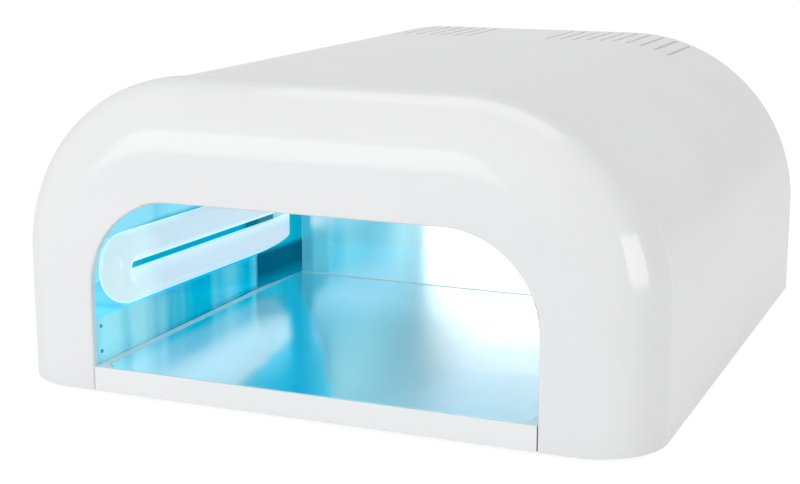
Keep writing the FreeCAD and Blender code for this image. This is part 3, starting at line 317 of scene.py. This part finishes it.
sheet = mirror("tray_mirror", silver, 0.16, 0.22, 0.02, 0.4)
along = sheet.geometry("Position", "Y")
sideways = sheet.geometry("Position", "X")
inside = sheet.above(along, mouth, 0.0015)
across = sideways + along * slant + sheet.noise(waver_size) * waver
widened = across + sheet.ramp(along, widening_from, widening_to, 0.0, widening)
streak = (sheet.above(widened, streak_left, streak_blur)
          * sheet.below(across, streak_right, streak_blur) * inside)
pool = (sheet.below(widened, pool_right, pool_blur) * sheet.below(along, pool_rear, pool_fade)
        * sheet.above(sideways, pool_left, pool_blur) * inside)
corner = sheet.above(along, pool_rear, pool_fade) * sheet.below(across, corner_right, corner_blur)
cleared = sheet.above(sideways, clear_from, clear_fade)
shaded = sheet.mix(sheet.below(along, shade_end, shade_fade), (0.62, 0.8, 0.86), (0.27, 0.66, 0.76))
right_half = sheet.mix(cleared, shaded, (0.8, 0.82, 0.84))
beside = sheet.above(across, beside_left, beside_blur) * inside
sheet_glow = sheet.mix(pool, sheet.mix(inside, dark, (0.0, 0.02, 0.025)), (0.1, 0.08, 0.07))
# Base colour: painted reflection and shade; emission: the painted pool of light and painted glow.
sheet.dress(
    Base_Color=sheet.mix(streak, sheet.mix(beside, silver, right_half), (0.27, 0.75, 0.85)),
    Emission_Color=sheet.mix(sheet.maths("MAXIMUM", streak, corner), sheet_glow, (0.0, 0.12, 0.17)))

# The lit tubes: the glow as seen, brighter in the bend, as mirrored, and as it lights matt surfaces.
bend_rear, bend_fade = -0.084, 0.006
tube = Finish("lit_tube", (0.1, 0.12, 0.13), 0.12, Emission_Strength=1.0)
bend = tube.below(tube.axis("Y"), bend_rear, bend_fade)
seen_glow = tube.mix(bend, (0.505, 0.645, 0.745), (0.57, 0.75, 0.8))
glow = tube.mix(tube.ray("Camera"), (0.33, 0.62, 0.76), seen_glow)
tube.dress(Emission_Color=tube.mix(tube.ray("Diffuse"), glow, (0.9, 1.6, 1.9)))

# A finish that has a piece's own name goes before that of its material slot.
for entry in frame["record"]["subparts"]:
    kind = entry["node"] if entry["node"] in finishes else entry["material_slot"]
    for slot in nodes[entry["node"]].material_slots:
        slot.material = finishes[kind].material


# ---------------------------------------------------------------- floor

reach = 3.0
floor_mesh = bpy.data.meshes.new("floor")
floor_mesh.from_pydata([(-reach, -reach, 0), (reach, -reach, 0), (reach, reach, 0), (-reach, reach, 0)], [],
                       [(0, 1, 2, 3)])
floor = bpy.data.objects.new("floor", floor_mesh)
bpy.context.scene.collection.objects.link(floor)

# Three quarters of what is seen of the paper is plain white, and the rest takes the lamp's shadow.
white_share = 0.75
mirrored_white, seen_white = 0.92, 1.2
paper = Finish("paper_floor", (0.85, 0.85, 0.85), 0.8)
seen = paper.maths("MAXIMUM", paper.ray("Camera"), paper.ray("Glossy"))
level = mirrored_white + paper.ray("Camera") * (seen_white - mirrored_white)
white = paper.add("Emission", {}, {"Color": (1, 1, 1), "Strength": level})
blend = paper.add("MixShader", {}, {0: seen * white_share, 1: Term(paper, paper.shader.outputs[0]), 2: white})
paper.put(paper.output, {"Surface": blend})
floor_mesh.materials.append(paper.material)


# ---------------------------------------------------------------- backdrop

# White where it is seen directly; in gloss, dimmer behind the lamp than in front of it.
room_light = 0.48
gloss_front, gloss_rear = 0.93, 0.76
gloss_turn = (-0.3, 0.5)                 # of a direction's Y, where one gives way to the other

world = bpy.data.worlds.new("studio")
world.use_nodes = True
bpy.context.scene.world = world
sky = Shading(world.node_tree)
toward = sky.part(sky.add("TexCoord", output="Generated"), "Y")
room = sky.choose(sky.ray("Glossy"), room_light, sky.ramp(toward, *gloss_turn, gloss_front, gloss_rear))
direct = sky.maths("MAXIMUM", sky.ray("Camera"), sky.ray("Transmission"))
sky.put(sky.tree.nodes["Background"], {"Color": (1, 1, 1), "Strength": sky.choose(direct, room, 1.0)})


# ---------------------------------------------------------------- lamps

aim = Vector((0.0, 0.0, 0.05))
band_aim = Vector((0.0, 0.0, 0.08))


def area_light(name, place, size, power, target=aim, mirrored=True):
    """A soft lamp that looks at a target; its power is in watts."""
    data = bpy.data.lights.new(name, "AREA")
    data.shape = "RECTANGLE"
    data.size, data.size_y = size
    data.energy = power
    lamp = bpy.data.objects.new(name, data)
    bpy.context.scene.collection.objects.link(lamp)
    lamp.location = place
    lamp.rotation_euler = (target - Vector(place)).to_track_quat("-Z", "Y").to_euler()
    lamp.visible_glossy = mirrored


area_light("key", (-0.45, -1.35, 0.46), (0.9, 0.6), 6.5, mirrored=False)
area_light("overhead", (0.0, 0.05, 1.2), (1.2, 0.7), 3.3)
area_light("front_band", (-0.65, -1.35, 0.2), (0.78, 0.42), 1.9, target=band_aim)
area_light("side_band", (1.2, -0.22, 0.13), (0.7, 0.6), 4.0)
area_light("rear_fill", (-0.7, 1.2, 0.8), (1.0, 0.6), 3.0, mirrored=False)


# ---------------------------------------------------------------- camera

image_width = 800                        # pixels
focal_length = 1577.19                   # in those pixels, from the photograph's perspective
sensor_width = 36.0                      # mm
tilt_down = 12.48                        # degrees
turn_left = 22.96
camera_place = (0.2201, -0.5599, 0.1691)

camera_data = bpy.data.cameras.new("camera")
camera_data.sensor_width = sensor_width
camera_data.lens = focal_length / image_width * sensor_width
camera = bpy.data.objects.new("camera", camera_data)
bpy.context.scene.collection.objects.link(camera)
camera.location = camera_place
camera.rotation_euler = Euler((math.radians(90 - tilt_down), 0.0, math.radians(turn_left)))
bpy.context.scene.camera = camera
bpy.context.scene.view_settings.view_transform = "Standard"
